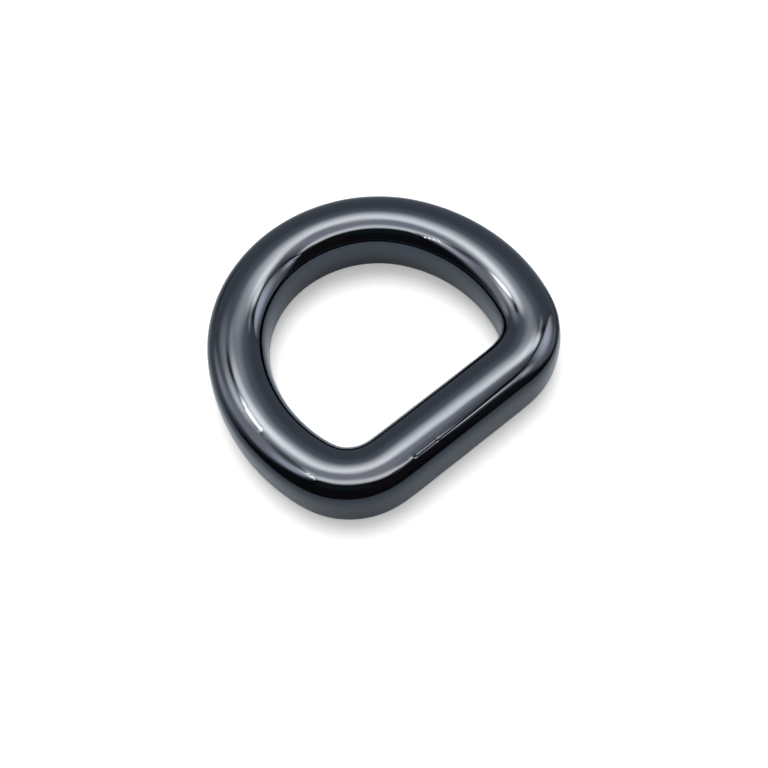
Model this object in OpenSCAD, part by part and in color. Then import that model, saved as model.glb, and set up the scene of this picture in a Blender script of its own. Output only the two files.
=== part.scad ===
// A cast D ring, one closed loop of metal: a straight bar, two tight corners,
// two gently bulging sides and a round bow. It lies flat with its lowest line
// on z = 0, centred on the origin, with the bar along X at the front and the
// bow at the back.

/* [Opening] */
// Greatest width of the opening, measured along the bar
hole_w = 20; // [16:0.5:30]
// Depth of the opening, from the bar to the middle of the bow
hole_d = 17.3; // [15:0.5:24]
// How much smaller the bow's inner radius is than half the opening's width
bow_ease = 0.6; // [0.3:0.05:2.5]
// How much larger each bulging side's inner radius is than half the opening's width
side_ease = 3.4; // [1:0.1:15]
// Inner radius of each corner, beside the bar
corner_r = 2.45; // [0.6:0.05:4]

/* [Metal] */
// Width of the metal, from the opening to the outside
metal_w = 5.5; // [4:0.1:7.5]
// Height of the metal as the ring lies
metal_h = 6.1; // [4.5:0.1:9]
// Radius of the slight bulge down the inner and outer walls
wall_r = 12; // [6:0.5:30]
// Radius of the crown along the top, and of the same crown below
crown_r = 3.9; // [3.5:0.1:12]
// Radius of the four shoulders, between the walls and the crowns
shoulder_r = 1.85; // [0.6:0.05:1.95]

/* [Smoothness] */
// Turn of the loop from one cross-section to the next, in degrees
loop_step = 4.5; // [3:0.5:10]
// Steps round one shoulder of the cross-section
shoulder_steps = 5; // [3:1:8]
// Steps from a shoulder to the middle of a crown
crown_steps = 3; // [2:1:6]

/* [Hidden] */

// Half the metal's width and half its height
half_w = metal_w / 2;
half_h = metal_h / 2;

// The metal's middle line runs half a width outside the opening's edge
line_half_w = hole_w / 2 + half_w;
line_d = hole_d + metal_w;
bow_line_r = hole_w / 2 - bow_ease + half_w;
side_line_r = hole_w / 2 + side_ease + half_w;
corner_line_r = corner_r + half_w;

// The bow is centred on the ring's own middle line
bow_centre = [0, line_d - bow_line_r];

// Each side reaches the full width and touches the bow from outside
side_x = line_half_w - side_line_r;
side_centre = [side_x, bow_centre.y - other_leg(side_line_r - bow_line_r, side_x)];

// Each corner touches the bar's middle line, y = 0, and its side from inside
corner_drop = side_centre.y - corner_line_r;
corner_centre = [side_x + other_leg(side_line_r - corner_line_r, corner_drop), corner_line_r];

// Directions, seen from the centres, in which the corner and the side end
corner_end = heading(side_centre, corner_centre);
side_end = heading(side_centre, bow_centre);

// One arc of the loop or of the cross-section: centre, radius, first and last direction
right_corner = [corner_centre, corner_line_r, -90, corner_end];
right_side = [side_centre, side_line_r, corner_end, side_end];
bow = [bow_centre, bow_line_r, side_end, 180 - side_end];

// The cross-section's shoulder touches the wall's arc and the crown's arc from inside
wall_centre = [half_w - wall_r, 0];
crown_centre = [0, half_h - crown_r];
shoulder_centre = touching(wall_centre, wall_r - shoulder_r, crown_centre, crown_r - shoulder_r);
wall_end = heading(wall_centre, shoulder_centre);
crown_start = heading(crown_centre, shoulder_centre);

// The second short side of a right triangle
function other_leg(longest, leg) = sqrt(longest * longest - leg * leg);

// Direction from one point to another, in degrees
function heading(from, to) = atan2(to.y - from.y, to.x - from.x);

// The point at distance r from a and distance s from b, on the left of the way from a to b
function touching(a, r, b, s) =
    let (
        gap = norm(b - a),
        way = (b - a) / gap,
        along = (r * r - s * s + gap * gap) / (2 * gap)
    )
    a + along * way + other_leg(r, along) * [-way.y, way.x];

// Directions along an arc in equal steps, without the last one
function turns(from, to, steps) = [for (i = [0:steps - 1]) from + (to - from) * i / steps];

// Places along an arc of the loop, each with its direction
function arc_places(arc) =
    let (steps = 2 * ceil((arc[3] - arc[2]) / loop_step / 2))
    [for (turn = turns(arc[2], arc[3], steps)) [arc[0] + arc[1] * [cos(turn), sin(turn)], turn]];

// The same arc on the other side of the ring, walked in the same sense
function mirrored(arc) = [[-arc[0].x, arc[0].y], arc[1], 180 - arc[3], 180 - arc[2]];

// The whole middle line, counter-clockwise from the bar's right end
places = [
    each arc_places(right_corner),
    each arc_places(right_side),
    each arc_places(bow),
    each arc_places(mirrored(right_side)),
    each arc_places(mirrored(right_corner)),
    [[-corner_centre.x, 0], -90]
];

// A quarter of the cross-section, from the middle of the wall to just short of the crown's middle
quarter = [
    wall_centre + [wall_r, 0],
    for (turn = turns(wall_end, crown_start, shoulder_steps))
        shoulder_centre + shoulder_r * [cos(turn), sin(turn)],
    for (turn = turns(crown_start, 90, crown_steps))
        crown_centre + crown_r * [cos(turn), sin(turn)]
];

// A quarter turned over into the next one, in the same sense and with the same first point left out
function flipped(points, sign) = [for (i = [len(points) - 1:-1:1]) [sign.x * points[i].x, sign.y * points[i].y]];

// The whole cross-section, counter-clockwise from the outer wall
section = [
    each quarter,
    [0, half_h],
    each flipped(quarter, [-1, 1]),
    each [for (p = quarter) -p],
    [0, -half_h],
    each flipped(quarter, [1, -1])
];

// Corner points of the loop's surface: the cross-section stood up at each place
skin = [
    for (place = places)
        for (p = section)
            [
                place[0].x + p.x * cos(place[1]),
                place[0].y + p.x * sin(place[1]),
                half_h + p.y
            ]
];

// Number of the corner point at a place and a point of the cross-section, both counted round
function corner_number(place, point) = (place % len(places)) * len(section) + point % len(section);

// Two triangles for each patch between neighbouring cross-sections
skin_faces = [
    for (i = [0:len(places) - 1])
        for (j = [0:len(section) - 1])
            for (patch = [[[0, 0], [0, 1], [1, 1]], [[0, 0], [1, 1], [1, 0]]])
                [for (step = patch) corner_number(i + step.x, j + step.y)]
];

// The cast loop, moved back by half its depth so that it is centred on the origin
module ring() {
    color("dimgray")
        translate([0, -line_d / 2, 0])
            polyhedron(skin, skin_faces, convexity = 4);
}

ring();
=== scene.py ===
"""Dresses a cast D ring: smooth black nickel plate, a pale table, a soft studio round it and the camera."""

import logging
import math
from dataclasses import dataclass, field
from enum import Enum

import bpy
import numpy as np
from mathutils import Matrix, Vector


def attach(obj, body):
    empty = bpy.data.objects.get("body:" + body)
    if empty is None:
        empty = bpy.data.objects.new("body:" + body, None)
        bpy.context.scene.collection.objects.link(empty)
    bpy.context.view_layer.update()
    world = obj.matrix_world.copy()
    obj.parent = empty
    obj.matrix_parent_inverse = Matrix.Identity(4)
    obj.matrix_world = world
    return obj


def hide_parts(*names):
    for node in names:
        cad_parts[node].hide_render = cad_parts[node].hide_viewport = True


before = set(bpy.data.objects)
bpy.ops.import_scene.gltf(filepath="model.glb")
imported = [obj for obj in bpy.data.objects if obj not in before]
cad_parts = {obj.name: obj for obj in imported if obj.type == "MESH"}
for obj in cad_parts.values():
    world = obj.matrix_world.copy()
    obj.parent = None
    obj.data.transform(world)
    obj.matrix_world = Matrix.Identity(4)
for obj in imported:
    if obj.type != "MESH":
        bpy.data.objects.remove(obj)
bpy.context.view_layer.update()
MM = 0.001
RIDES_ON = "root"
VIEW_TRANSFORM = "Standard"

log = logging.getLogger("d_ring")


def linear(hex_colour: str, gain: float = 1.0) -> tuple[float, float, float, float]:
    """Turns an sRGB hex colour into linear light.

    The sRGB curve is a straight line for the darkest values, and a power with an offset above them.

    Args:
        hex_colour: Six hex digits after a hash sign.
        gain: How many times brighter the result is made.

    Returns:
        Linear red, green and blue, and an opacity of one.
    """
    parts = [int(hex_colour[i : i + 2], 16) / 255 for i in (1, 3, 5)]
    light = [p / 12.92 if p <= 0.04045 else ((p + 0.055) / 1.055) ** 2.4 for p in parts]
    return (*(gain * v for v in light), 1.0)


def add_node(
    tree: bpy.types.NodeTree,
    kind: str,
    settings: dict[str | int, object] | None = None,
    links: dict[str | int, bpy.types.NodeSocket] | None = None,
) -> bpy.types.Node:
    """Adds one node with its settings and links.

    Args:
        tree: The tree that gets the node.
        kind: Blender's name for the node's type.
        settings: Values by the name of the node's own property, or by an input's name or number.
        links: The outputs that feed the node, by the input's name or number.

    Returns:
        The new node.
    """
    node = tree.nodes.new(kind)
    for name, value in (settings or {}).items():
        if isinstance(name, str) and hasattr(node, name):
            setattr(node, name, value)
        else:
            node.inputs[name].default_value = value
    for name, source in (links or {}).items():
        tree.links.new(source, node.inputs[name])
    return node


def mesh_object(
    name: str,
    points: np.ndarray,
    squares: np.ndarray,
    uv: np.ndarray | None = None,
    triangles: np.ndarray | None = None,
) -> bpy.types.Object:
    """Puts points and faces into a smooth-shaded mesh object at the origin.

    Args:
        name: The object's name.
        points: One row of x, y, z in metres for each vertex.
        squares: One row of four vertex numbers for each four-cornered face.
        uv: One row of u, v for each corner of each face, if the piece needs them.
        triangles: One row of three vertex numbers for each further face, if there are any.

    Returns:
        The object, linked to the scene.
    """
    if triangles is None:
        triangles = np.empty((0, 3), dtype=int)
    mesh = bpy.data.meshes.new(name)
    corners = np.concatenate([squares.ravel(), triangles.ravel()]).astype(np.int32)
    starts = np.concatenate([np.arange(len(squares)) * 4, squares.size + np.arange(len(triangles)) * 3])
    mesh.vertices.add(len(points))
    mesh.vertices.foreach_set("co", points.astype(np.float32).ravel())
    mesh.loops.add(corners.size)
    mesh.loops.foreach_set("vertex_index", corners)
    mesh.polygons.add(starts.size)
    mesh.polygons.foreach_set("loop_start", starts.astype(np.int32))
    if uv is not None:
        mesh.uv_layers.new(name="along_and_round").data.foreach_set("uv", uv.astype(np.float32).ravel())
    mesh.update(calc_edges=True)
    mesh.polygons.foreach_set("use_smooth", np.ones(starts.size, dtype=bool))
    mesh.validate()
    piece = bpy.data.objects.new(name, mesh)
    bpy.context.scene.collection.objects.link(piece)
    return piece


def grid_faces(rows: int, columns: int, close_rows: bool, close_columns: bool) -> np.ndarray:
    """Four-cornered faces of a grid of points that are numbered row by row.

    Args:
        rows: Number of rows of points.
        columns: Number of points in a row.
        close_rows: Whether the last row joins the first.
        close_columns: Whether each row's last point joins its first.

    Returns:
        One row of four point numbers for each face, turned from rows towards columns.
    """
    i = np.arange(rows if close_rows else rows - 1)[:, None]
    j = np.arange(columns if close_columns else columns - 1)[None, :]
    here, there = i * columns, (i + 1) % rows * columns
    beside = (j + 1) % columns
    corners = [here + j, there + j, there + beside, here + beside]
    return np.stack(np.broadcast_arrays(*corners), -1).reshape(-1, 4)


def smoothed(values: np.ndarray, length: float, blend: float) -> np.ndarray:
    """Smooths values on a closed line with a bell curve.

    Each wave that the values are made of keeps the share that the bell curve leaves of it: the
    exponential of -2 times the square of the product of pi, the blend and the waves per length.

    Args:
        values: Values at equal steps round the line.
        length: Length of the whole line.
        blend: Spread of the bell curve, in the same unit.

    Returns:
        The smoothed values.
    """
    waves_per_length = np.fft.rfftfreq(len(values), length / len(values))
    kept = np.exp(-2 * (np.pi * waves_per_length * blend) ** 2)
    return np.fft.irfft(np.fft.rfft(values) * kept, len(values))


def added_up(values: np.ndarray, step: float) -> np.ndarray:
    """Sum of the values up to each place, times the step between places, starting from nothing."""
    return np.concatenate([[0.0], np.cumsum(values) * step])


@dataclass(frozen=True)
class BlackNickelPlate:
    """Polished black nickel, electroplated over a cast and buffed zinc alloy.

    The film is dark and cool, and nearly a mirror: it gives the eye little colour of its own, sharp
    pictures of what stands round it, dimmed to about a fifteenth, and a bright rim where it is seen
    edge on. Buffing leaves it a little hazier and warmer in patches, with a ripple under a micrometre
    high, like that of orange peel.
    """

    cool_face: str = "#43484f"
    warm_face: str = "#47494e"
    tint_patch_mm: float = 7.0
    tint_detail: float = 2.0
    clear_roughness: float = 0.02
    hazy_roughness: float = 0.05
    haze_patch_mm: float = 2.2
    haze_detail: float = 4.0
    clear_below: float = 0.35
    hazy_above: float = 0.7
    peel_mm: float = 0.9
    peel_detail: float = 1.0
    peel_height_mm: float = 0.0009

    def build(self) -> bpy.types.Material:
        """Makes the plate's material, with every pattern measured on the piece itself.

        Returns:
            The material.
        """
        material = bpy.data.materials.new("black_nickel_plate")
        material.use_nodes = True
        tree = material.node_tree
        tree.nodes.clear()
        place = add_node(tree, "ShaderNodeTexCoord").outputs["Object"]
        patterns = (
            {"Scale": 1 / (self.tint_patch_mm * MM), "Detail": self.tint_detail},
            {"Scale": 1 / (self.haze_patch_mm * MM), "Detail": self.haze_detail},
            {"Scale": 1 / (self.peel_mm * MM), "Detail": self.peel_detail},
        )
        tint, haze, peel = (
            add_node(tree, "ShaderNodeTexNoise", pattern, {"Vector": place}) for pattern in patterns
        )
        colour = add_node(
            tree,
            "ShaderNodeMix",
            {"data_type": "RGBA", 6: linear(self.cool_face), 7: linear(self.warm_face)},
            {0: tint.outputs["Fac"]},
        )
        roughness = add_node(
            tree,
            "ShaderNodeMapRange",
            {
                "From Min": self.clear_below,
                "From Max": self.hazy_above,
                "To Min": self.clear_roughness,
                "To Max": self.hazy_roughness,
            },
            {"Value": haze.outputs["Fac"]},
        )
        bump = add_node(
            tree,
            "ShaderNodeBump",
            {"Distance": self.peel_height_mm * MM, "Strength": 1.0},
            {"Height": peel.outputs["Fac"]},
        )
        shader = add_node(
            tree,
            "ShaderNodeBsdfPrincipled",
            {"Metallic": 1.0},
            {
                "Base Color": colour.outputs[2],
                "Roughness": roughness.outputs["Result"],
                "Normal": bump.outputs["Normal"],
            },
        )
        add_node(tree, "ShaderNodeOutputMaterial", {}, {"Surface": shader.outputs["BSDF"]})
        return material


@dataclass(frozen=True)
class PaintedFalloff:
    """Painted shade: an even darkening of a sheet's colour between two distances from its middle, for light
    that falls off away from it.
    """

    start_mm: float
    end_mm: float
    shaded_face: str


@dataclass(frozen=True)
class MattSheet:
    """Matt sheet, fine-grained and without gloss: it gives an even pale ground with soft shadows.

    The table top is opal acrylic, lit a little from below, so that shadows on it stay light. The card
    that the metal mirrors is painted board, which isn't lit; a painted shade darkens it away from its middle.
    """

    name: str
    face: str
    speckle: str
    inner_glow: float = 0.0
    # Painted shade that darkens the colour away from the middle, if any
    painted_falloff: PaintedFalloff | None = None
    speckle_mm: float = 1.2
    speckle_detail: float = 3.0

    def build(self) -> bpy.types.Material:
        """Makes the sheet's material.

        Returns:
            The material.
        """
        material = bpy.data.materials.new(self.name)
        material.use_nodes = True
        tree = material.node_tree
        tree.nodes.clear()
        place = add_node(tree, "ShaderNodeTexCoord").outputs["Object"]
        scale = {"Scale": 1 / (self.speckle_mm * MM), "Detail": self.speckle_detail}
        grain = add_node(tree, "ShaderNodeTexNoise", scale, {"Vector": place})
        colour = add_node(
            tree,
            "ShaderNodeMix",
            {"data_type": "RGBA", 6: linear(self.face), 7: linear(self.speckle)},
            {0: grain.outputs["Fac"]},
        )
        # Painted shade: the colour darkens evenly to a darker one between two distances from the middle, for
        # light that falls off
        if self.painted_falloff is not None:
            out = add_node(tree, "ShaderNodeVectorMath", {"operation": "LENGTH"}, {0: place})
            ends = {"From Min": self.painted_falloff.start_mm * MM, "From Max": self.painted_falloff.end_mm * MM}
            share = add_node(tree, "ShaderNodeMapRange", ends, {"Value": out.outputs["Value"]})
            colour = add_node(
                tree,
                "ShaderNodeMix",
                {"data_type": "RGBA", 7: linear(self.painted_falloff.shaded_face)},
                {0: share.outputs["Result"], 6: colour.outputs[2]},
            )
        shader = add_node(
            tree,
            "ShaderNodeBsdfPrincipled",
            {
                "Roughness": 1.0,
                "Specular IOR Level": 0.0,
                "Emission Color": linear(self.face),
                "Emission Strength": self.inner_glow,
            },
            {"Base Color": colour.outputs[2]},
        )
        add_node(tree, "ShaderNodeOutputMaterial", {}, {"Surface": shader.outputs["BSDF"]})
        return material


@dataclass(frozen=True)
class Nick:
    """A tiny lip that a knock raised in the polish, or a dent where its height is below nothing.

    It lies at a share of the way round the loop, where the section's normal has an angle above the
    middle plane, in degrees. Lengths are in millimetres.
    """

    share: float
    normal: float
    height: float
    spread_along: float
    spread_round: float

    def distance(self, share: np.ndarray, length: float) -> np.ndarray:
        """Distance along the loop from the nick to other shares of the way round, the shorter way."""
        return ((share - self.share + 0.5) % 1 - 0.5) * length

    def lip(self, share: np.ndarray, normal: np.ndarray, length: float, radius: float) -> np.ndarray:
        """Height of the lip, as a bell curve of the distances along and round the metal.

        Args:
            share: Share of the way round the loop, from 0 to 1, as a column.
            normal: Direction of the section's normal in radians, as a row.
            length: Length of the loop.
            radius: Radius of the section there, which turns angles into distances.

        Returns:
            Heights on the grid.
        """
        away = self.distance(share, length) / self.spread_along
        aside = (normal - math.radians(self.normal)) * radius / self.spread_round
        return self.height * np.exp(-(away**2 + aside**2) / 2)


@dataclass
class CastRing:
    """The cast loop: a straight strap bar, two tight corners, two gently bulging sides and a round bow.

    Sizes are in millimetres and are those of the solid that the ring stands for, apart from the foot of
    the metal: here it is squarer than the buffed top, most of all outside, as a mould leaves it. The arcs
    of the middle line and of the section run into each other gradually, as buffing leaves them.
    """

    # The loop, seen from above
    opening_width: float = 20.0
    opening_depth: float = 17.3
    bow_ease: float = 0.6
    side_ease: float = 3.4
    corner_radius: float = 2.45
    # The metal's section
    metal_width: float = 5.5
    metal_height: float = 6.1
    wall_radius: float = 12.0
    crown_radius: float = 3.9
    shoulder_radius: float = 1.85
    underside_radius: float = 30.0
    outer_foot_radius: float = 0.85
    inner_foot_radius: float = 1.6
    # How gradually arc runs into arc, and how finely the surface is worked out
    line_blend: float = 0.7
    section_blend_degrees: float = 6.0
    places_along: int = 700
    points_round: int = 136
    fine_steps: int = 4096
    # The polish: its waves, and its nicks with the closer rows of points round each
    wave_height: float = 0.0035
    wave_count: int = 14
    wave_laps: tuple[int, int] = (2, 22)
    wave_turns: tuple[int, int] = (0, 6)
    wave_seed: int = 8
    nicks: tuple[Nick, ...] = (
        Nick(0.9313, 63.0, 0.011, 0.16, 0.12),
        Nick(0.9647, 61.0, -0.003, 0.14, 0.12),
        Nick(0.84, 66.0, 0.010, 0.2, 0.14),
        Nick(0.765, 76.0, 0.010, 0.16, 0.14),
        Nick(0.7345, 75.0, 0.005, 0.2, 0.14),
    )
    nick_rows: float = 3.0
    nick_reach: float = 0.7
    plate: BlackNickelPlate = field(default_factory=BlackNickelPlate)

    def middle_line(self) -> tuple[np.ndarray, np.ndarray, np.ndarray, np.ndarray]:
        """Works out the metal's middle line from how strongly it bends at each place.

        The bend is nothing along the bar, and one over the radius along each arc. It is smoothed,
        added up once to give the direction at each place, and added up again to give the places.
        What is then missing at the middle of the bow comes off the bar.

        Returns:
            Distances along the line, x and y there, and the direction there in radians, all starting
            and ending at the middle of the bar.
        """
        half_metal = self.metal_width / 2
        half_width = self.opening_width / 2 + half_metal
        depth = self.opening_depth + self.metal_width
        bow_r = half_width - self.bow_ease
        side_r = half_width + self.side_ease
        corner_r = self.corner_radius + half_metal
        bow_y = depth - bow_r
        side_x = -self.side_ease
        side_y = bow_y - math.sqrt((side_r - bow_r) ** 2 - side_x**2)
        corner_x = side_x + math.sqrt((side_r - corner_r) ** 2 - (side_y - corner_r) ** 2)
        corner_end = math.atan2(corner_r - side_y, corner_x - side_x)
        side_end = math.atan2(bow_y - side_y, -side_x)
        bar = corner_x
        corner = corner_r * (math.pi / 2 + corner_end)
        side = side_r * (side_end - corner_end)
        bow = bow_r * (math.pi / 2 - side_end)
        length = 2 * (bar + corner + side + bow)
        step = length / self.fine_steps
        at = (np.arange(self.fine_steps) + 0.5) * step
        from_bar = np.minimum(at, length - at)
        stretches = [from_bar < bar, from_bar < bar + corner, from_bar < bar + corner + side]
        bends = [np.zeros_like(at), np.full_like(at, 1 / corner_r), np.full_like(at, 1 / side_r)]
        bend = smoothed(np.select(stretches, bends, 1 / bow_r), length, self.line_blend)
        heading = added_up(bend, step)
        halfway = (heading[1:] + heading[:-1]) / 2
        x = added_up(np.cos(halfway), step)
        y = added_up(np.sin(halfway), step)
        along = np.arange(self.fine_steps + 1) * step
        missing = np.interp(length / 2, along, x)
        share = np.clip(np.minimum(along, length - along) / bar, 0, 1)
        x = x - missing * np.where(along < length / 2, share, 2 - share)
        return along, x * half_width / x.max(), y * depth / y.max(), heading

    def quarter(self, crown_radius: float, shoulder_radius: float) -> tuple[float, float]:
        """Works out where the arcs of a quarter of the section meet.

        The wall's arc is centred on the middle plane and reaches half the metal's width, and the crown's
        arc is centred under the middle and reaches half its height. The shoulder's arc touches both from
        inside, so its centre is where circles smaller by its radius meet.

        Args:
            crown_radius: Radius of the top or of the underside, in millimetres.
            shoulder_radius: Radius between it and the wall.

        Returns:
            Directions of the outward normal in radians above the middle plane, where the wall ends and
            where the crown starts.
        """
        wall = np.array([self.metal_width / 2 - self.wall_radius, 0.0])
        crown = np.array([0.0, self.metal_height / 2 - crown_radius])
        from_wall = self.wall_radius - shoulder_radius
        from_crown = crown_radius - shoulder_radius
        gap = math.hypot(*(crown - wall))
        way = (crown - wall) / gap
        to_foot = (from_wall**2 - from_crown**2 + gap**2) / (2 * gap)
        aside = math.sqrt(from_wall**2 - to_foot**2)
        shoulder = wall + to_foot * way + aside * np.array([-way[1], way[0]])
        wall_end = math.atan2(shoulder[1], shoulder[0] - wall[0])
        crown_start = math.atan2(shoulder[1] - crown[1], shoulder[0])
        return wall_end, crown_start

    def section(self) -> tuple[np.ndarray, np.ndarray, np.ndarray]:
        """Works out the metal's section from its radius at each direction of its outward normal.

        The radius is that of the wall, the shoulder or the crown of each quarter. It is smoothed over
        the normal's direction, and added up as it turns to give the outline. What is missing for the
        outline to close is taken off evenly.

        Returns:
            Directions of the normal in radians, and the outline's distance outwards and height there.
        """
        half_w = self.metal_width / 2
        half_h = self.metal_height / 2
        step = 2 * math.pi / self.fine_steps
        turn = (np.arange(self.fine_steps) + 0.5) * step - math.pi
        folded = np.arctan2(np.abs(np.sin(turn)), np.abs(np.cos(turn)))
        radius = np.zeros_like(turn)
        outside = np.abs(turn) < math.pi / 2
        for here, crown_r, shoulder_r in (
            (turn >= 0, self.crown_radius, self.shoulder_radius),
            ((turn < 0) & outside, self.underside_radius, self.outer_foot_radius),
            ((turn < 0) & ~outside, self.underside_radius, self.inner_foot_radius),
        ):
            wall_end, crown_start = self.quarter(crown_r, shoulder_r)
            radii = [np.full_like(turn, self.wall_radius), np.full_like(turn, shoulder_r)]
            whole = np.select([folded < wall_end, folded < crown_start], radii, crown_r)
            radius = np.where(here, whole, radius)
        radius = smoothed(radius, 2 * math.pi, math.radians(self.section_blend_degrees))
        out = added_up(-radius * np.sin(turn), step)
        up = added_up(radius * np.cos(turn), step)
        share = np.linspace(0, 1, out.size)
        out -= share * out[-1]
        up -= share * up[-1]
        out -= (out.max() + out.min()) / 2
        up -= (up.max() + up.min()) / 2
        normal = np.arange(self.fine_steps + 1) * step - math.pi
        return normal, out * half_w / out.max(), up * half_h / up.max()

    def polish_waves(self, share: np.ndarray, normal: np.ndarray) -> np.ndarray:
        """Height of the slight waves that buffing leaves, as a sum of cosines that close on themselves.

        Each cosine has a whole number of laps along the loop, a whole number of turns round the section
        and a phase, all drawn at random from a fixed seed.

        Args:
            share: Share of the way round the loop, from 0 to 1, as a column.
            normal: Direction of the section's normal in radians, as a row.

        Returns:
            Heights in millimetres on the grid.
        """
        draw = np.random.default_rng(self.wave_seed)
        height = np.zeros((share.size, normal.size))
        for _ in range(self.wave_count):
            laps = draw.integers(*self.wave_laps)
            turns = draw.integers(*self.wave_turns)
            phase = draw.uniform(0, 2 * math.pi)
            height += np.cos(2 * math.pi * laps * share + turns * normal + phase) / math.sqrt(self.wave_count)
        return self.wave_height * height

    def places(self, length: float) -> np.ndarray:
        """Shares of the way round the loop of the rows of points, closer together near the nicks.

        The number of rows in a stretch grows with its length, and with a bell curve round each nick.

        Args:
            length: Length of the loop.

        Returns:
            One share for each row, from 0 to just below 1.
        """
        share = np.linspace(0, 1, self.fine_steps + 1)
        rows = np.ones_like(share)
        for nick in self.nicks:
            away = nick.distance(share, length) / self.nick_reach
            rows += self.nick_rows * np.exp(-(away**2))
        total = added_up((rows[1:] + rows[:-1]) / 2, 1.0)
        wanted = np.arange(self.places_along) / self.places_along
        return np.interp(wanted, total / total[-1], share)

    def surface(self) -> tuple[np.ndarray, np.ndarray]:
        """Carries the section along the middle line.

        A point of the section at (out, up) stands at the place on the middle line plus out times the
        direction that points away from the opening, and up above the middle plane. The height of the
        polish's waves and nicks there is added along the section's normal.

        Returns:
            One row of x, y, z for each point, and one row for each corner of each face with its
            distances along the middle line and round the section, all in millimetres.
        """
        line_at, line_x, line_y, heading = self.middle_line()
        normal_at, outline_out, outline_up = self.section()
        length = line_at[-1]
        share = self.places(length)[:, None]
        normal = np.arange(self.points_round)[None, :] * 2 * math.pi / self.points_round - math.pi
        x = np.interp(share * length, line_at, line_x)
        y = np.interp(share * length, line_at, line_y)
        turn = np.interp(share * length, line_at, heading)
        polish = self.polish_waves(share, normal)
        polish += sum(nick.lip(share, normal, length, self.shoulder_radius) for nick in self.nicks)
        out = np.interp(normal, normal_at, outline_out) + polish * np.cos(normal)
        up = np.interp(normal, normal_at, outline_up) + polish * np.sin(normal)
        depth = self.opening_depth + self.metal_width
        parts = (x + out * np.sin(turn), y - out * np.cos(turn) - depth / 2, up + self.metal_height / 2)
        points = np.stack(np.broadcast_arrays(*parts), -1).reshape(-1, 3)
        girth = np.hypot(np.diff(outline_out), np.diff(outline_up)).sum()
        reached = np.append(share, 1.0) * length
        row = np.arange(self.places_along)[:, None, None] + np.array([0, 1, 1, 0])
        column = np.arange(self.points_round)[None, :, None] + np.array([0, 0, 1, 1])
        corners = (reached[row], column * girth / self.points_round)
        return points, np.stack(np.broadcast_arrays(*corners), -1).reshape(-1, 2)

    def build(self) -> bpy.types.Object:
        """Makes the ring's smooth surface and plates it.

        Returns:
            The ring, in the place of its solid.
        """
        points, uv = self.surface()
        faces = grid_faces(self.places_along, self.points_round, True, True)
        piece = mesh_object("cast_ring", points * MM, faces, uv * MM)
        piece.data.materials.append(self.plate.build())
        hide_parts("ring")
        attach(piece, RIDES_ON)
        return piece


class Ray(Enum):
    """Kinds of light rays, by Blender's name for the switch that lets them meet an object."""

    CAMERA = "visible_camera"
    DIFFUSE = "visible_diffuse"
    GLOSSY = "visible_glossy"
    SHADOW = "visible_shadow"


def hide_from(piece: bpy.types.Object, rays: tuple[Ray, ...]) -> None:
    """Keeps kinds of light rays from meeting a piece."""
    for ray in rays:
        setattr(piece, ray.value, False)


def round_sheet(
    name: str, radius: np.ndarray, turn: np.ndarray, height: float, rings: int
) -> bpy.types.Object:
    """Makes a flat sheet out of rings of points about a point in its middle.

    Ring number n of them has n shares of the edge's distance from the middle. The innermost ring is
    closed by triangles that meet at the middle.

    Args:
        name: The object's name.
        radius: Distances of the edge from the middle, in millimetres.
        turn: Directions of those distances in radians from the x axis, growing counter-clockwise.
        height: Height of the sheet, in millimetres.
        rings: Number of rings.

    Returns:
        The sheet, facing up.
    """
    spokes = radius.size
    share = np.linspace(0, 1, rings + 1)[1:, None]
    flat = np.full((rings, spokes), height)
    points = np.stack([share * radius * np.cos(turn), share * radius * np.sin(turn), flat], -1).reshape(-1, 3)
    points = np.vstack([points, [[0.0, 0.0, height]]])
    squares = grid_faces(rings, spokes, False, True)
    first = np.arange(spokes)
    middle = np.full(spokes, rings * spokes)
    fan = np.stack([middle, first, (first + 1) % spokes], -1)
    return mesh_object(name, points * MM, squares, triangles=fan)


@dataclass
class TableTop:
    """The pale table under the ring. The metal doesn't mirror it, but the card that lies on it."""

    radius: float = 1500.0
    spokes: int = 96
    rings: int = 12
    sheet: MattSheet = MattSheet("opal_table", "#e6e6e6", "#e0e0e1", 0.45)
    unseen_by: tuple[Ray, ...] = (Ray.GLOSSY,)

    def build(self) -> bpy.types.Object:
        """Makes the table top and keeps the rays in unseen_by from meeting it.

        Returns:
            The table top.
        """
        turn = np.arange(self.spokes) * 2 * math.pi / self.spokes
        piece = round_sheet("table_top", np.full(self.spokes, self.radius), turn, 0.0, self.rings)
        piece.data.materials.append(self.sheet.build())
        hide_from(piece, self.unseen_by)
        return piece


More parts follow.
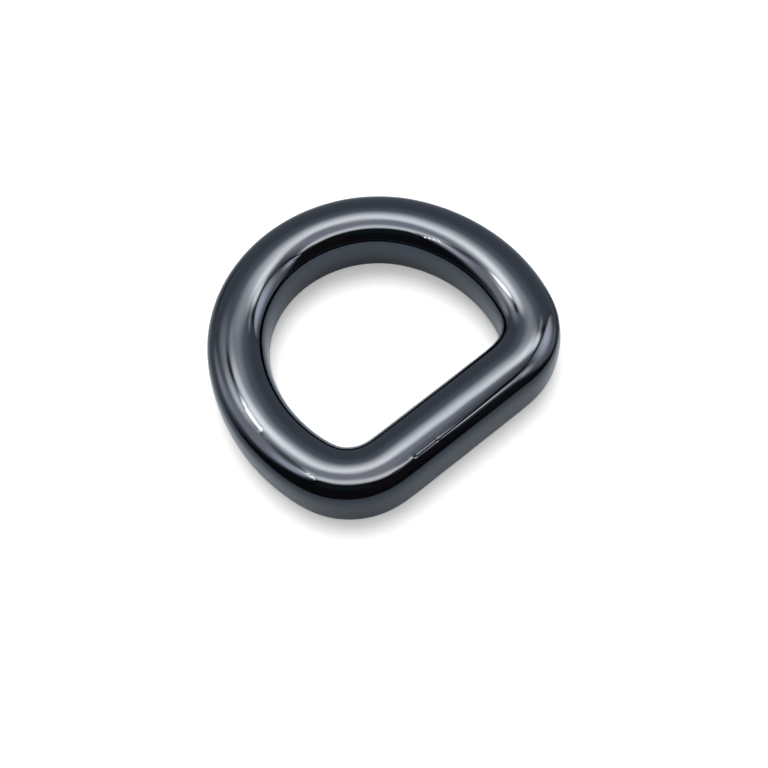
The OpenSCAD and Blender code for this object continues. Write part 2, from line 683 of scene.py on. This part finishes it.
@dataclass
class MirroredCard:
    """The blue-grey card that the ring's metal mirrors, and that nothing else sees, darkened outwards by
    painted shade.

    It is round, with two straight edges, each given by the direction that it faces and its distance
    from the middle. Lengths are in millimetres, and directions in degrees from the camera's own in
    the photograph, growing to its right.
    """

    camera_azimuth: float
    radius: float = 42.0
    straight_edges: tuple[tuple[float, float], ...] = ((118.0, 18.8), (-15.0, 44.0))
    height: float = 0.02
    spokes: int = 240
    rings: int = 20
    # The card's colour darkens from 11 to 40 mm out: a painted shade for light that falls off away from the
    # ring
    sheet: MattSheet = MattSheet("painted_card", "#d8e0e6", "#d2dae1", painted_falloff=PaintedFalloff(11.0, 40.0, "#9ca2a8"))
    unseen_by: tuple[Ray, ...] = (Ray.CAMERA, Ray.DIFFUSE, Ray.SHADOW)

    def build(self) -> bpy.types.Object:
        """Makes the card and keeps the rays in unseen_by from meeting it.

        Its edge in a direction is the nearest of the round's radius and, for each straight edge that
        the direction leads to, that edge's distance over the cosine of the angle between the two.

        Returns:
            The card.
        """
        azimuth = np.arange(self.spokes) * 360 / self.spokes
        edge = np.full(self.spokes, self.radius)
        for towards, distance in self.straight_edges:
            lean = np.cos(np.radians(azimuth - towards))
            ahead = lean > 0
            edge[ahead] = np.minimum(edge[ahead], distance / lean[ahead])
        turn = np.radians(azimuth + self.camera_azimuth - 90)
        piece = round_sheet("mirrored_card", edge, turn, self.height, self.rings)
        piece.data.materials.append(self.sheet.build())
        hide_from(piece, self.unseen_by)
        return piece


def soft_step(middle: float, soft: float) -> dict[str | int, object]:
    """Settings that make a Map Range node a smooth step from 0 to 1.

    Args:
        middle: Value at which the step is at a half.
        soft: Distance from its beginning to its end; below nothing the step goes from 1 to 0.

    Returns:
        The settings, for a value that is linked to the node.
    """
    return {
        "interpolation_type": "SMOOTHSTEP",
        "From Min": middle - soft / 2,
        "From Max": middle + soft / 2,
    }


@dataclass(frozen=True)
class SlantedPanel:
    """A soft-edged panel between two elevations, whose sides may lean. All angles are in degrees.

    Azimuth 0 is towards the camera of the photograph and grows to its right, and elevation is above the
    horizon. The panel's left and right sides have two azimuths at its foot and two at its head, and
    rise holds the elevations of both. Its soft edges are as wide as soft says, on the left, right,
    bottom and top. One on either side stands on both sides of the camera's direction alike.
    """

    name: str
    foot: tuple[float, float]
    head: tuple[float, float]
    rise: tuple[float, float]
    soft: tuple[float, float, float, float]
    tint: str
    glow: float
    either_side: bool = False

    def share(
        self, tree: bpy.types.NodeTree, azimuth: bpy.types.NodeSocket, elevation: bpy.types.NodeSocket
    ) -> bpy.types.NodeSocket:
        """Works out how much of the panel shows in a direction, as the product of four smooth steps.

        Args:
            tree: The world's tree.
            azimuth: The direction's azimuth.
            elevation: The direction's elevation.

        Returns:
            The share, from 0 to 1.
        """
        left, right, bottom, top = self.soft
        lowest, highest = self.rise
        if self.either_side:
            azimuth = add_node(tree, "ShaderNodeMath", {"operation": "ABSOLUTE"}, {0: azimuth}).outputs[0]
        steps = [(elevation, soft_step(lowest, bottom)), (elevation, soft_step(highest, -top))]
        for low, high, soft in zip(self.foot, self.head, (left, -right)):
            ends = {"From Min": lowest, "From Max": highest, "To Min": low, "To Max": high}
            edge = add_node(tree, "ShaderNodeMapRange", {"clamp": False, **ends}, {"Value": elevation})
            sides = {0: azimuth, 1: edge.outputs["Result"]}
            inside = add_node(tree, "ShaderNodeMath", {"operation": "SUBTRACT"}, sides)
            steps.append((inside.outputs[0], soft_step(0.0, soft)))
        shown, *others = (
            add_node(tree, "ShaderNodeMapRange", settings, {"Value": value}).outputs["Result"]
            for value, settings in steps
        )
        for step in others:
            both = {0: shown, 1: step}
            shown = add_node(tree, "ShaderNodeMath", {"operation": "MULTIPLY"}, both).outputs[0]
        return shown


@dataclass(frozen=True)
class OvalPanel:
    """A soft-edged oval panel, in the same angles. The soft part is given as a share of its radius.

    Its middle is an azimuth and an elevation, and half holds half its width and half its height. A
    squareness of 2 gives an ellipse, and a larger one fills it out towards a rectangle. A panel within
    another shows only where that one does.
    """

    name: str
    middle: tuple[float, float]
    half: tuple[float, float]
    soft: float
    tint: str
    glow: float
    squareness: float = 2.0
    within: "OvalPanel | None" = None

    def share(
        self, tree: bpy.types.NodeTree, azimuth: bpy.types.NodeSocket, elevation: bpy.types.NodeSocket
    ) -> bpy.types.NodeSocket:
        """Works out how much of the panel shows, from the distance to its middle in half widths.

        With p for the squareness, the distance is the p-th root of the sum of both parts' p-th powers.

        Args:
            tree: The world's tree.
            azimuth: The direction's azimuth.
            elevation: The direction's elevation.

        Returns:
            The share, from 0 to 1.
        """
        powers = []
        for value, middle, half in zip((azimuth, elevation), self.middle, self.half):
            ends = {"clamp": False, "From Min": middle, "From Max": middle + half}
            part = add_node(tree, "ShaderNodeMapRange", ends, {"Value": value}).outputs["Result"]
            size = add_node(tree, "ShaderNodeMath", {"operation": "ABSOLUTE"}, {0: part}).outputs[0]
            power = add_node(tree, "ShaderNodeMath", {"operation": "POWER", 1: self.squareness}, {0: size})
            powers.append(power.outputs[0])
        total = add_node(tree, "ShaderNodeMath", {"operation": "ADD"}, dict(enumerate(powers))).outputs[0]
        away = add_node(tree, "ShaderNodeMath", {"operation": "POWER", 1: 1 / self.squareness}, {0: total})
        edge = soft_step(1 - self.soft / 2, -self.soft)
        shown = add_node(tree, "ShaderNodeMapRange", edge, {"Value": away.outputs[0]}).outputs["Result"]
        if self.within is None:
            return shown
        outer = self.within.share(tree, azimuth, elevation)
        return add_node(tree, "ShaderNodeMath", {"operation": "MULTIPLY"}, {0: shown, 1: outer}).outputs[0]


@dataclass
class Studio:
    """The soft studio: a dim room with panels of light and dark, painted over each other in order.

    The metal mirrors the panels. All else is lit by one plain soft light, from high up at the back. The
    studio is laid out from the photograph's camera, and stays where it is when a view is taken from
    elsewhere.
    """

    camera_azimuth: float
    room_tint: str = "#e7f2ff"
    room_glow: float = 0.68
    backdrop: str = "#fdfdfd"
    # The plain soft light: its middle's azimuth and elevation, its half width and its soft edge
    key: str = "#ffffff"
    key_glow: float = 7.6
    key_place: tuple[float, float] = (180.0, 71.0)
    key_half: float = 21.0
    key_soft: float = 22.0
    fill_glow: float = 0.45
    # Tints of the panels
    lamp: str = "#fffbf2"
    cloth: str = "#fbfbff"
    wall: str = "#e7f2ff"
    shade: str = "#f4f0ff"
    teal: str = "#b4dfe2"
    rust: str = "#ffd8dc"
    # The row of small lamps, narrow and leaning left: their middles, how far right of these a lamp's sides
    # stand at its foot, which is how far left of them they stand at its head, and half its height
    small_lamps: tuple[tuple[float, float], ...] = (
        (-62.2, 59.0),
        (-67.4, 60.7),
        (-73.0, 62.2),
        (-77.8, 63.1),
    )
    small_lamp_sides: tuple[float, float] = (2.0, 3.4)
    small_lamp_half_rise: float = 2.5
    small_lamp_soft: tuple[float, float, float, float] = (1, 1, 2, 2)
    small_lamp_glow: float = 18.0

    def small_lamp(self, azimuth: float, elevation: float) -> SlantedPanel:
        """Makes one of the small lamps.

        Args:
            azimuth: Azimuth of its middle.
            elevation: Elevation of its middle.

        Returns:
            The lamp's panel.
        """
        near, far = self.small_lamp_sides
        return SlantedPanel(
            "small lamp",
            (azimuth + near, azimuth + far),
            (azimuth - far, azimuth - near),
            (elevation - self.small_lamp_half_rise, elevation + self.small_lamp_half_rise),
            self.small_lamp_soft,
            self.lamp,
            self.small_lamp_glow,
        )

    def panels(self) -> list[SlantedPanel | OvalPanel]:
        """Lists what the metal mirrors, in the order of painting.

        A side at an azimuth of 400 either way lies past the room's far side, so it never shows.

        Returns:
            The panels.
        """
        lamp, cloth, wall, shade = self.lamp, self.cloth, self.wall, self.shade
        all_round = (-400.0, 400.0)
        right_box = OvalPanel("right softbox", (87, 19), (33, 37), 0.12, cloth, 1.2, 2.5)
        return [
            SlantedPanel("ceiling", all_round, all_round, (66, 120), (1, 1, 20, 1), cloth, 2.5),
            OvalPanel("front lamp", (-14, 40), (118, 45), 0.27, lamp, 7.5),
            OvalPanel("front shade", (-14, 20), (104, 53.2), 0.19, shade, 0.045),
            SlantedPanel("front shade foot", (-130, 80), (-118, 60), (-90, 30), (9, 2, 1, 6), shade, 0.045),
            SlantedPanel("front shade sheen", (-57, 18), (-54, 13), (42, 64), (4, 5, 12, 8), self.teal, 0.14),
            SlantedPanel("front shade right", (6, 53), (18, 50), (16, 56), (20, 2, 24, 6), self.rust, 0.08),
            OvalPanel("front shade corner", (49, 53), (9, 8), 0.8, shade, 0.4),
            SlantedPanel("left wall", (-400, -59), (-400, -58), (-90, 65), (1, 3, 1, 5), wall, 0.68),
            SlantedPanel("right wall", (54, 400), (54, 400), (-90, 54), (3, 1, 1, 3), wall, 0.68),
            SlantedPanel("right wall top", (62, 400), (60, 400), (50, 66), (10, 1, 4, 14), wall, 0.75),
            SlantedPanel("rear dusk", (130, 400), (130, 400), (46, 70), (40, 1, 20, 4), wall, 1.3, True),
            SlantedPanel("rear glow", (116, 400), (146, 400), (64.5, 81), (50, 1, 24, 16), lamp, 9.8, True),
            OvalPanel("rear glow left", (-146, 64), (30, 12), 1.0, lamp, 11.5),
            OvalPanel("rear glow right", (130, 66), (28, 12), 1.0, lamp, 10.5),
            OvalPanel("left softbox", (-93, 42), (27, 24), 0.5, cloth, 2.05),
            OvalPanel("left softbox foot", (-109, 22), (19, 20), 0.9, cloth, 2.6),
            OvalPanel("left softbox corner", (-78, 51), (17, 14), 0.9, cloth, 4.0),
            OvalPanel("left gap", (-99, 62), (18, 8), 1.0, cloth, 0.7),
            OvalPanel("left dark foot", (-142, 2), (18, 14), 1.0, shade, 0.2),
            SlantedPanel("left shade low", (-133, 0), (-72, 0), (-60, 36), (24, 1, 1, 4), shade, 0.05),
            SlantedPanel("left shade high", (-75, -50), (-56, -50), (32, 56), (14, 1, 4, 4), shade, 0.05),
            OvalPanel("left rim lamp", (-72, 60.2), (16, 8), 1.0, lamp, 8.0),
            *(self.small_lamp(*place) for place in self.small_lamps),
            OvalPanel("left lamp halo", (-130, 47), (26, 18), 1.0, cloth, 2.6),
            OvalPanel("left lamp glow", (-118, 51), (16, 12), 1.0, lamp, 7.0),
            OvalPanel("left lamp", (-126, 58.6), (11.5, 4.0), 0.45, lamp, 17.0),
            OvalPanel("left lamp bracket", (-138.5, 52.8), (8.5, 5.2), 0.6, cloth, 0.35),
            OvalPanel("right lamp", (119, 57.5), (15, 9), 0.8, lamp, 9.2),
            OvalPanel("right softbox frame", (87, 22), (36, 40), 0.1, cloth, 0.42, 2.5),
            right_box,
            OvalPanel("right softbox middle", (103, 36), (34, 30), 1.0, cloth, 5.2, within=right_box),
            OvalPanel("right softbox left", (64, 45), (17, 16), 1.0, cloth, 4.6, within=right_box),
            OvalPanel("right softbox fold", (82, 50), (9, 7), 1.0, cloth, 1.2, within=right_box),
            OvalPanel("right softbox corner", (59, 47), (6, 5.5), 0.8, lamp, 6.0),
            OvalPanel("right softbox foot", (118, 2), (20, 20), 1.0, cloth, 0.5, within=right_box),
            OvalPanel("right softbox hinge", (119, 45), (5, 7), 0.7, cloth, 0.2),
            OvalPanel("right softbox top left", (68, 49.5), (8, 5), 0.7, cloth, 3.3),
            SlantedPanel("right seam", (49.5, 58.5), (74.5, 79.0), (48, 60), (3, 3, 1.5, 2), shade, 0.05),
            OvalPanel("right seam end", (79.5, 58.3), (8, 2.8), 0.9, shade, 0.05),
            OvalPanel("right lamp tail", (128, 50), (7, 8), 1.0, lamp, 2.6),
            SlantedPanel("right dark side", (50, 74), (50, 56), (3, 38), (4, 18, 4, 8), shade, 0.08),
            SlantedPanel("right dusk foot", (66, 140), (72, 136), (-90, -14), (8, 8, 1, 8), wall, 0.28),
            SlantedPanel("right dark edge", (50, 100), (50, 76), (-30, 5), (4, 20, 4, 4), shade, 0.05),
        ]

    def directions(
        self, tree: bpy.types.NodeTree
    ) -> tuple[bpy.types.NodeSocket, bpy.types.NodeSocket, bpy.types.NodeSocket]:
        """Works out the direction of a ray, turned so that the photograph's camera stands at azimuth 0.

        The azimuth of a turned direction (x, y, z) is the arctangent of x over minus y, and its
        elevation the arcsine of z.

        Args:
            tree: The world's tree.

        Returns:
            The turned direction, and its azimuth and elevation in degrees.
        """
        turned = add_node(
            tree,
            "ShaderNodeVectorRotate",
            {"rotation_type": "Z_AXIS", "Angle": -math.radians(self.camera_azimuth)},
            {"Vector": add_node(tree, "ShaderNodeTexCoord").outputs["Generated"]},
        ).outputs["Vector"]
        x, y, z = add_node(tree, "ShaderNodeSeparateXYZ", {}, {"Vector": turned}).outputs
        nearer = add_node(tree, "ShaderNodeMath", {"operation": "MULTIPLY", 1: -1.0}, {0: y}).outputs[0]
        angles = (
            add_node(tree, "ShaderNodeMath", {"operation": "ARCTAN2"}, {0: x, 1: nearer}),
            add_node(tree, "ShaderNodeMath", {"operation": "ARCSINE"}, {0: z}),
        )
        azimuth, elevation = (
            add_node(tree, "ShaderNodeMath", {"operation": "DEGREES"}, {0: angle.outputs[0]}).outputs[0]
            for angle in angles
        )
        return turned, azimuth, elevation

    def painted(
        self, tree: bpy.types.NodeTree, azimuth: bpy.types.NodeSocket, elevation: bpy.types.NodeSocket
    ) -> bpy.types.NodeSocket:
        """Paints each panel over the room and over the panels before it.

        Args:
            tree: The world's tree.
            azimuth: A direction's azimuth.
            elevation: The direction's elevation.

        Returns:
            The light that the metal mirrors from that direction.
        """
        colour = add_node(tree, "ShaderNodeRGB").outputs[0]
        colour.default_value = linear(self.room_tint, self.room_glow)
        for panel in self.panels():
            mixed = add_node(
                tree,
                "ShaderNodeMix",
                {"data_type": "RGBA", 7: linear(panel.tint, panel.glow), "label": panel.name},
                {0: panel.share(tree, azimuth, elevation), 6: colour},
            )
            colour = mixed.outputs[2]
        return colour

    def canopy(self, tree: bpy.types.NodeTree, direction: bpy.types.NodeSocket) -> bpy.types.NodeSocket:
        """Works out the plain soft light: bright within an angle of the key's middle, and dim elsewhere.

        The angle between a direction and the key's middle is the arccosine of their dot product.

        Args:
            tree: The world's tree.
            direction: The turned direction.

        Returns:
            The light from that direction.
        """
        key_turn, key_rise = (math.radians(angle) for angle in self.key_place)
        towards_key = (
            math.sin(key_turn) * math.cos(key_rise),
            -math.cos(key_turn) * math.cos(key_rise),
            math.sin(key_rise),
        )
        product = {"operation": "DOT_PRODUCT", 1: towards_key}
        to_key = add_node(tree, "ShaderNodeVectorMath", product, {0: direction}).outputs["Value"]
        between = add_node(tree, "ShaderNodeMath", {"operation": "ARCCOSINE"}, {0: to_key}).outputs[0]
        off_key = add_node(tree, "ShaderNodeMath", {"operation": "DEGREES"}, {0: between}).outputs[0]
        edge = soft_step(self.key_half, -self.key_soft)
        share = add_node(tree, "ShaderNodeMapRange", edge, {"Value": off_key}).outputs["Result"]
        mixed = add_node(
            tree,
            "ShaderNodeMix",
            {"data_type": "RGBA", 6: linear(self.key, self.fill_glow), 7: linear(self.key, self.key_glow)},
            {0: share},
        )
        return mixed.outputs[2]

    def build(self) -> bpy.types.World:
        """Makes the world's light.

        Glossy rays meet the panels, the camera's own rays a plain backdrop, and all other rays the
        plain soft light.

        Returns:
            The world.
        """
        world = bpy.data.worlds.new("soft_studio")
        world.use_nodes = True
        tree = world.node_tree
        tree.nodes.clear()
        direction, azimuth, elevation = self.directions(tree)
        mirrored = self.painted(tree, azimuth, elevation)
        studio = add_node(tree, "ShaderNodeBackground", {}, {"Color": mirrored})
        plain = add_node(tree, "ShaderNodeBackground", {"Color": linear(self.backdrop)})
        soft = add_node(tree, "ShaderNodeBackground", {}, {"Color": self.canopy(tree, direction)})
        ray = add_node(tree, "ShaderNodeLightPath")
        lit = add_node(
            tree,
            "ShaderNodeMixShader",
            {},
            {0: ray.outputs["Is Glossy Ray"], 1: soft.outputs[0], 2: studio.outputs[0]},
        )
        shown = add_node(
            tree,
            "ShaderNodeMixShader",
            {},
            {0: ray.outputs["Is Camera Ray"], 1: lit.outputs[0], 2: plain.outputs[0]},
        )
        add_node(tree, "ShaderNodeOutputWorld", {}, {"Surface": shown.outputs[0]})
        bpy.context.scene.world = world
        return world


@dataclass
class StudioCamera:
    """The camera, at the photograph's viewing angle. Angles are in degrees and lengths in millimetres.

    It stands at an azimuth, elevation and distance from the middle of the ring's opening, and is then
    rolled about its axis, turned sideways and tipped.
    """

    azimuth: float = -32.944
    elevation: float = 59.551
    distance: float = 134.58
    roll: float = -7.587
    pan: float = -0.617
    tilt: float = 1.832
    target_height: float = 3.05
    lens: float = 69.96
    sensor: float = 36.0
    nearest: float = 10.0

    def build(self) -> bpy.types.Object:
        """Makes the camera and gives it to the scene.

        Returns:
            The camera.
        """
        turn, rise = math.radians(self.azimuth), math.radians(self.elevation)
        back = Vector((math.sin(turn) * math.cos(rise), -math.cos(turn) * math.cos(rise), math.sin(rise)))
        right = Vector((0, 0, 1)).cross(back).normalized()
        upright = Matrix((right, back.cross(right), back))
        rolled = Matrix.Rotation(-math.radians(self.roll), 3, "Z") @ upright
        panned = Matrix.Rotation(-math.radians(self.pan), 3, "Y") @ rolled
        tipped = Matrix.Rotation(math.radians(self.tilt), 3, "X") @ panned
        data = bpy.data.cameras.new("camera")
        data.lens = self.lens
        data.sensor_width = self.sensor
        data.clip_start = self.nearest * MM
        camera = bpy.data.objects.new("camera", data)
        bpy.context.scene.collection.objects.link(camera)
        place = Vector((0, 0, self.target_height * MM)) + back * self.distance * MM
        camera.matrix_world = Matrix.Translation(place) @ tipped.transposed().to_4x4()
        bpy.context.scene.camera = camera
        return camera


def main() -> None:
    """Builds the ring, the table, the card, the camera and the studio, and logs each piece's faces, the
    camera's place and the world's name.
    """
    logging.basicConfig(level=logging.INFO, format="%(name)s: %(message)s")
    camera = StudioCamera()
    for piece in (CastRing().build(), TableTop().build(), MirroredCard(camera.azimuth).build()):
        log.info("%s: %d faces", piece.name, len(piece.data.polygons))
    log.info("camera at %s", [round(v, 4) for v in camera.build().location])
    log.info("world %s", Studio(camera.azimuth).build().name)
    bpy.context.scene.view_settings.view_transform = VIEW_TRANSFORM


if __name__ == "__main__":
    main()
